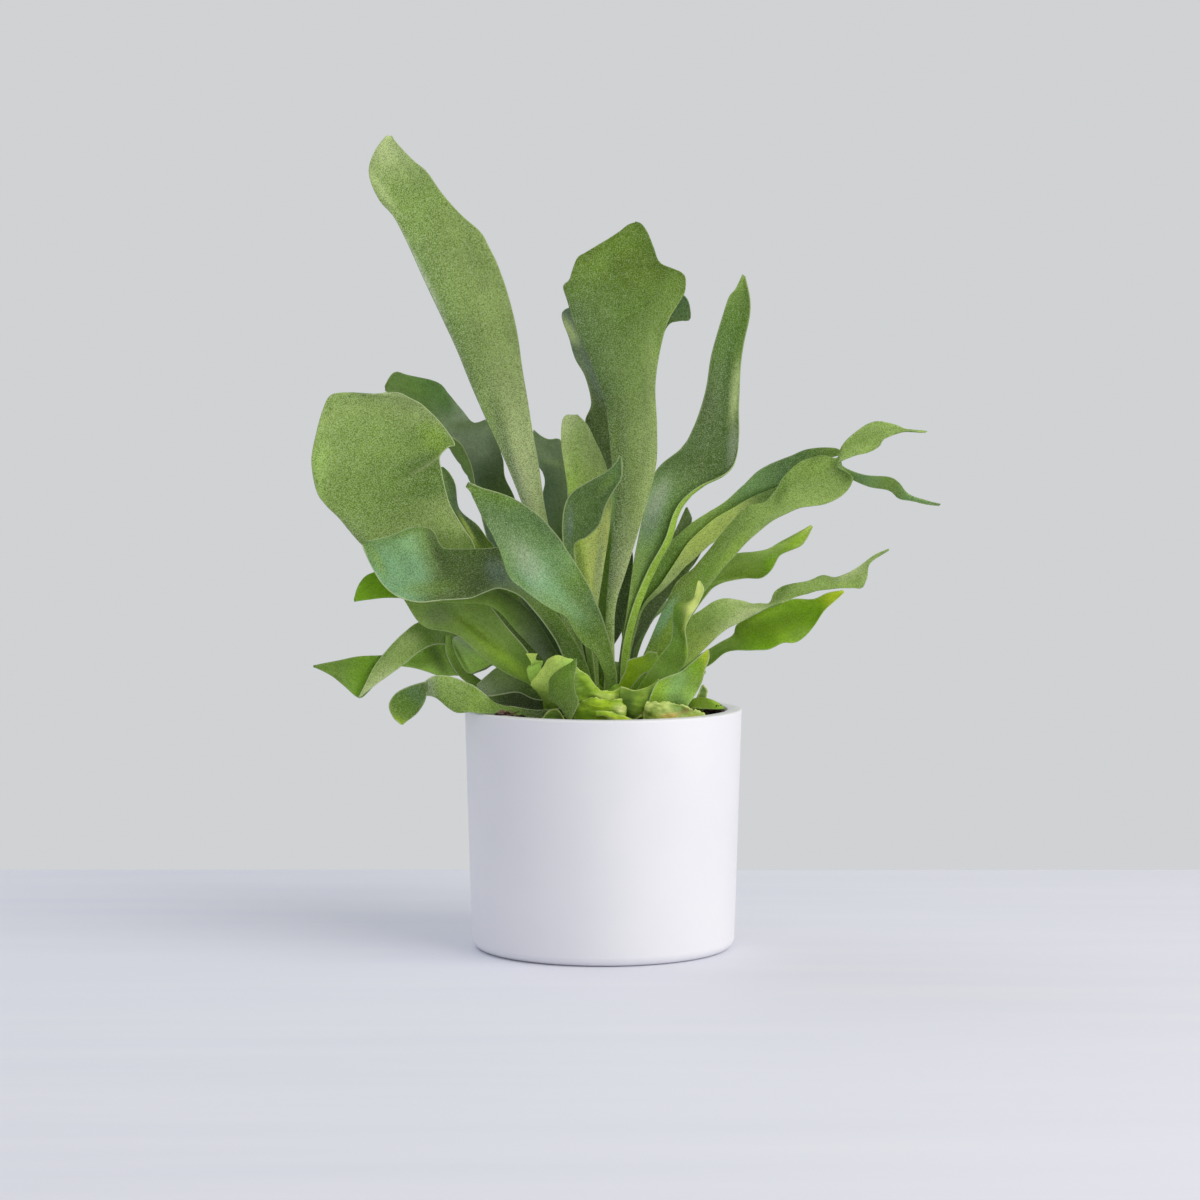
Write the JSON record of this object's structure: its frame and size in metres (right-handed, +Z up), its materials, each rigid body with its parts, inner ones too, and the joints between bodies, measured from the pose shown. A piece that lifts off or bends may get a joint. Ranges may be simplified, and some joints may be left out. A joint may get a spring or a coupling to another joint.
{
  "type": "potted staghorn fern",
  "caption": "Staghorn fern with long leathery strap, fan and forked fronds rising from a crown of shield fronds, standing in bark mix in a white matte cylinder pot.",
  "frame": {"origin": "middle of the pot's flat underside, on the pot's axis", "axes": "+Z up along the pot's axis, -Y towards the side that the picture shows, +X to that view's right"},
  "size_m": [0.3169, 0.194, 0.4098],
  "materials": {
    "pot": "matte",
    "soil": "matte",
    "crown": "matte",
    "light_green": "matte",
    "mid_green": "satin",
    "teal_green": "satin",
    "dark_green": "matte",
    "yellow_green": "satin"
  },
  "bodies": {
    "root": {"pot": "pot", "soil": "soil", "crown": "crown", "frond_tall_left": "light_green", "frond_left_fan": "light_green", "frond_blunt_centre": "light_green", "frond_left_light": "light_green", "frond_left_under": "light_green", "frond_tall_centre": "mid_green", "frond_forked_right": "mid_green", "frond_right_short": "mid_green", "frond_right_long": "mid_green", "frond_left_drooping": "mid_green", "frond_rim_left": "mid_green", "frond_small_olive": "mid_green", "frond_upright_right": "teal_green", "frond_front_teal": "teal_green", "frond_left_level": "teal_green", "frond_shield_right": "teal_green", "frond_right_behind_fork": "teal_green", "frond_back_left": "dark_green", "frond_back_middle": "dark_green", "frond_behind_centre": "dark_green", "frond_behind_fan": "dark_green", "frond_twisted_dark": "dark_green", "frond_left_dark": "dark_green", "frond_back_right": "dark_green", "frond_left_narrow": "dark_green", "frond_yellow_tip": "yellow_green", "frond_left_behind_level": "yellow_green", "frond_rim_right": "yellow_green", "frond_curled_right": "yellow_green", "frond_shield_front": "yellow_green", "frond_front_folded": "yellow_green", "frond_small_left": "yellow_green", "frond_rear_steep": "mid_green", "frond_rear_broad": "mid_green", "frond_rear_left": "mid_green", "frond_rear_right": "mid_green", "frond_rear_low_left": "mid_green", "frond_rear_low_right": "mid_green", "frond_rear_hanging_right": "mid_green", "frond_rear_hanging_left": "mid_green"}
  },
  "joints": []
}
